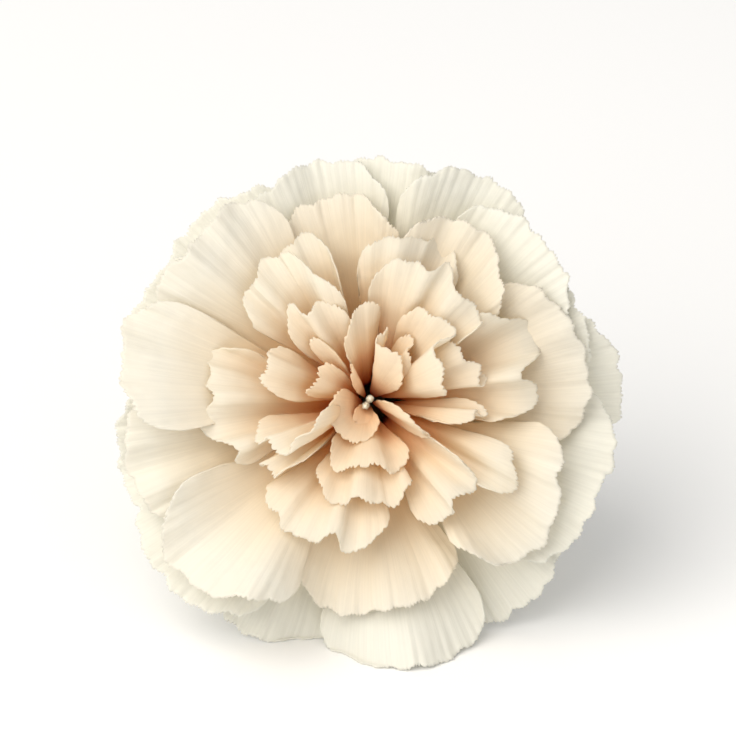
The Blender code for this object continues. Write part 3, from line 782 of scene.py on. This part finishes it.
outer_share = (CALYX_BORE + CALYX_WALL) / MOUTH_RADIUS
inner_share = CALYX_BORE / MOUTH_RADIUS
rib_turns = np.arange(CALYX_SIDES) / CALYX_SIDES * math.tau * RIB_COUNT
ribs = 1.0 + RIB_DEPTH * np.cos(rib_turns)[:, None] * np.array([1, 1, 0])
outside = [circle(profile_radius(h), h, CALYX_SIDES) * ribs for h in np.linspace(CALYX_FOOT, 0.0, 30)]
lip = [calyx_rim(outer_share, share) for share in (0.2, 0.4, 0.6, 0.8, 0.95)]
lip += [calyx_rim((outer_share + inner_share) / 2, 1.0)]
lip += [calyx_rim(inner_share, share) for share in (0.95, 0.8, 0.6, 0.4, 0.2)]
inside = [circle(profile_radius(h) - CALYX_WALL, h, CALYX_SIDES)
          for h in np.linspace(0.0, CALYX_PROFILE[1][0] + CALYX_WALL, 16)]
calyx = ring_object("calyx_fine", outside + lip + inside, calyx_skin)
stands_for(calyx, "calyx")
print("calyx faces:", len(calyx.data.polygons))

# %% [markdown]
# ## Bracts
# Two pairs of scales, the bracts, wrap the foot of the calyx, the second pair crosswise over the first.
# Each is a small leaf with a keel, so it is a sheet like a petal, given its two faces by the same
# function, but laid out about the calyx's profile instead of the flow.

# %% Bracts
BRACT_SPAN = 47.0
BRACT_LENGTH = 11.5
BRACT_THICKNESS = 0.4
BRACT_TAPER = 0.93
KEEL_HEIGHT = 0.12
KEEL_WIDTH = 4.0
BRACT_GRID = (25, 26)
# The direction of each bract, and how much further out it lies than the first pair
BRACTS = ((0.0, 0.0), (180.0, 0.0), (90.0, BRACT_THICKNESS + GAP), (270.0, BRACT_THICKNESS + GAP))


def bract(name, turned, spacing):
    """One scale at the foot of the calyx: it wraps the calyx, narrows to a point and stands off."""
    columns, rows = BRACT_GRID
    side = np.linspace(-1.0, 1.0, columns)
    grid = []
    for along in np.linspace(0.0, 1.0, rows):
        height = CALYX_FOOT + 1.0 + along * BRACT_LENGTH
        half_width = BRACT_SPAN * (1.0 - BRACT_TAPER * along**1.8)
        keel = KEEL_HEIGHT * np.exp(-((side * half_width / KEEL_WIDTH) ** 2))
        radius = profile_radius(height) + GAP + BRACT_THICKNESS / 2 + spacing + along**2 + keel
        turns = np.radians(turned + side * half_width)
        ring = (radius * np.cos(turns), radius * np.sin(turns), np.full(columns, height))
        grid.append(np.stack(ring, axis=-1))
    flat = np.zeros((rows, columns))
    made = sheet_mesh(name, np.array(grid), flat + BRACT_THICKNESS * 0.8, flat, flat, flat)
    made.data.materials.append(bract_skin)
    return made


for number, (turned, spacing) in enumerate(BRACTS, 1):
    stands_for(bract(f"bract_{number}_fine", turned, spacing), f"bract_{number}")
print("bracts:", len(BRACTS))

# %% [markdown]
# ## Stem
# The stem leaves the calyx through a slight collar, bows a little under the bloom's weight and ends in
# a slanting cut. It reaches down to the surface, so its length isn't chosen: the lowest point of its
# cut, worked out for a stem of no length, tells how far is left to go.

# %% Stem
STEM_RADIUS = 2.3
STEM_WAIST = 2.1
STEM_COLLAR = 3.3
STEM_BOW = 1.6
STEM_CUT = 40.0
STEM_SIDES = 64
# Radii at shares of the stem's length
STEM_PROFILE = ((0.0, STEM_COLLAR), (0.05, STEM_COLLAR), (0.12, STEM_RADIUS), (0.35, STEM_WAIST),
                (0.7, STEM_WAIST), (1.0, STEM_RADIUS))


def stem_rings(length):
    """The rings of a stem of this length: a collar under the calyx, a gentle bow, a slanting cut."""
    rings = []
    slope = math.tan(math.radians(STEM_CUT))
    for share in np.linspace(0.0, 1.0, 41):
        radius = np.interp(share, *np.array(STEM_PROFILE).T)
        ring = circle(radius, CALYX_FOOT - GAP - share * length, STEM_SIDES)
        ring[:, 2] += ring[:, 1] * slope * smooth_step((share - 0.6) / 0.4)
        rings.append(ring - (0.0, STEM_BOW * share**2, 0.0))
    return rings


room_below = REST_HEIGHT - (stem_rings(0.0)[-1] @ DOWN).max()
stem_length = room_below / -DOWN[2]
stem = ring_object("stem_fine", stem_rings(stem_length), stem_skin)
stands_for(stem, "stem")
print("stem length in mm:", round(stem_length, 1))

# %% [markdown]
# ## Hairs on the styles
# Two thin horns, the styles, stand up from the ovary between the innermost petals. They carry short
# glassy hairs that catch pollen. Hundreds of equal hairs on a surface are a job for geometry nodes:
# points are scattered over the tube and a small cone is set on each, square to the surface.


# %% Hair tree
def hair_tree():
    """Geometry nodes that scatter small cones over a surface and join them to it."""
    tree = bpy.data.node_groups.new("style_hairs", "GeometryNodeTree")
    tree.interface.new_socket("Geometry", in_out="INPUT", socket_type="NodeSocketGeometry")
    for name, kind in (("Hairs Per Square Metre", "Float"), ("Hair Length", "Float"),
                       ("Hair Radius", "Float"), ("Seed", "Int"), ("Hair Skin", "Material")):
        tree.interface.new_socket(name, in_out="INPUT", socket_type="NodeSocket" + kind)
    tree.interface.new_socket("Geometry", in_out="OUTPUT", socket_type="NodeSocketGeometry")
    given = add_node(tree, "NodeGroupInput").outputs
    points = add_node(tree, "GeometryNodeDistributePointsOnFaces", {"Mesh": given["Geometry"],
                      "Density": given["Hairs Per Square Metre"], "Seed": given["Seed"]})
    hair = add_node(tree, "GeometryNodeMeshCone", {"Depth": given["Hair Length"],
                    "Radius Bottom": given["Hair Radius"]}, {"Vertices": 6})
    set_out = add_node(tree, "GeometryNodeInstanceOnPoints", {"Points": points.outputs["Points"],
                       "Instance": hair.outputs["Mesh"], "Rotation": points.outputs["Rotation"]})
    both = add_node(tree, "GeometryNodeJoinGeometry")
    tree.links.new(given["Geometry"], both.inputs[0])
    tree.links.new(set_out.outputs[0], both.inputs[0])
    whole = add_node(tree, "GeometryNodeRealizeInstances", {"Geometry": both.outputs[0]})
    skinned = add_node(tree, "GeometryNodeSetMaterial", {"Geometry": whole.outputs[0],
                       "Material": given["Hair Skin"]})
    add_node(tree, "NodeGroupOutput", {"Geometry": skinned.outputs[0]})
    return tree


hairs = hair_tree()
print("inputs:", [item.name for item in hairs.interface.items_tree if item.in_out == "INPUT"])

# %% [markdown]
# ## Styles, and the core inside the calyx
# A style is a tube along a flow line close to the middle of the map, thin at its foot, thicker towards
# its tip and rounded off at the end. The core with the ovary lies hidden in the calyx, so it keeps its
# plain solid and only gets the colour of pale flesh.

# %% Styles
STYLE_TURNS = (60.0, 235.0)
STYLE_PLACE = 1.2
STYLE_LENGTH = 15.0
STYLE_FOOT = 0.14
STYLE_SWELL = 0.26
STYLE_SIDES = 16
HAIRS_PER_M2 = 1.2e7
HAIR_LENGTH = 0.25 * MM
HAIR_RADIUS = 0.04 * MM
climb = np.concatenate([[-CLAW_DEPTH], np.linspace(-10.0, STYLE_LENGTH, 40)])
tip = np.sqrt(np.clip((STYLE_LENGTH + 0.4 - climb) / 2, 0, 1))
radii = STYLE_FOOT + STYLE_SWELL * smooth_step(climb / STYLE_LENGTH) * tip
for number, turned in enumerate(STYLE_TURNS, 1):
    start = STYLE_PLACE * np.array([math.cos(math.radians(turned)), math.sin(math.radians(turned))])
    middle = flow(np.full(len(climb), start[0]), np.full(len(climb), start[1]), climb)
    rings = [circle(radius, 0.0, STYLE_SIDES) + point for radius, point in zip(radii, middle)]
    horn = ring_object(f"style_{number}_fine", rings, style_skin)
    run_tree(horn, hairs, Hairs_Per_Square_Metre=HAIRS_PER_M2, Hair_Length=HAIR_LENGTH,
             Hair_Radius=HAIR_RADIUS, Seed=number, Hair_Skin=style_skin)
    stands_for(horn, f"style_{number}")
    print("style", number, "faces:", len(horn.data.polygons))

core.data.materials.clear()
core.data.materials.append(flesh)
print("the core is", ((core_high - core_low) / MM).round(1), "mm")

# %% [markdown]
# ## Floor
# The flower lies on a plain near-white floor: one large plane with the matt finish of paper. It is set
# a hair's breadth below the flower, so that no pressed rim dips into it.

# %% Floor
FLOOR_SIZE = 6.0
FLOOR_DROP = 0.2 * MM
bpy.ops.mesh.primitive_plane_add(size=FLOOR_SIZE, location=(0.0, 0.0, -FLOOR_DROP))
floor = bpy.context.object
floor.name = "floor"
paper, paper_tree = new_material("white_paper")
matt = add_node(paper_tree, "ShaderNodeBsdfPrincipled",
                values={"Base Color": hex_colour("#fdfdfc"), "Roughness": 0.9})
add_node(paper_tree, "ShaderNodeOutputMaterial", {"Surface": matt.outputs[0]})
floor.data.materials.append(paper)
print("floor:", FLOOR_SIZE, "m square")

# %% [markdown]
# ## Light
# One large soft light stands high on the left in front of the bloom, so that the petals' folds are
# drawn by soft shadows that fall to the lower right. A weak one on the right and a pale surrounding
# light keep the shadows open. All places are given from the viewer's side: to the right, upwards and
# towards the viewer.

# %% Light
towards = Vector((0.0, -math.sin(math.radians(REST_LEAN)), math.cos(math.radians(REST_LEAN))))
right = Vector((1.0, 0.0, 0.0))
upwards = right.cross(towards) * -1.0
bloom = Vector(in_place([[0.0, 0.0, 6.0]])[0])


def soft_light(name, place, size, power, colour):
    """A square soft light aimed at the bloom, at a place along right, upwards and towards, in metres."""
    lamp = bpy.data.lights.new(name, "AREA")
    lamp.size = size
    lamp.energy = power
    lamp.color = hex_colour(colour)[:3]
    obj = bpy.data.objects.new(name, lamp)
    obj.location = bloom + right * place[0] + upwards * place[1] + towards * place[2]
    obj.rotation_euler = (bloom - obj.location).to_track_quat("-Z", "Y").to_euler()
    bpy.context.scene.collection.objects.link(obj)


soft_light("key", (-0.6, 0.5, 0.95), 1.3, 15.5, "#fffaf2")
soft_light("fill", (0.5, 0.1, 0.9), 0.9, 1.2, "#fffaf2")
world = bpy.data.worlds.new("studio")
bpy.context.scene.world = world
world.use_nodes = True
world.node_tree.nodes["Background"].inputs["Color"].default_value = hex_colour("#fbfcff")
world.node_tree.nodes["Background"].inputs["Strength"].default_value = 0.54

# %% [markdown]
# ## Camera
# The camera looks along the flower's axis, straight into the bloom and so down at the surface. It
# stands 0.7 m off with a long lens, which keeps the bloom's shape true, and a little above the axis,
# which leaves more room over the bloom than under it.

# %% Camera
# The width that the view takes in at the bloom, the camera's lift above the axis, and its distance, in mm
VIEW_WIDTH = 110.4
VIEW_LIFT = 5.1
DISTANCE = 700.0
lens = bpy.data.cameras.new("camera")
lens.sensor_width = 36.0
lens.lens = lens.sensor_width * DISTANCE / VIEW_WIDTH
lens.clip_end = 20.0
camera = bpy.data.objects.new("camera", lens)
camera.location = bloom + towards * DISTANCE * MM + upwards * VIEW_LIFT * MM
camera.rotation_euler = (-towards).to_track_quat("-Z", "Y").to_euler()
bpy.context.scene.collection.objects.link(camera)
bpy.context.scene.camera = camera
bpy.context.scene.view_settings.view_transform = "Standard"
print("camera at", [round(v, 3) for v in camera.location], "lens", round(lens.lens), "mm")
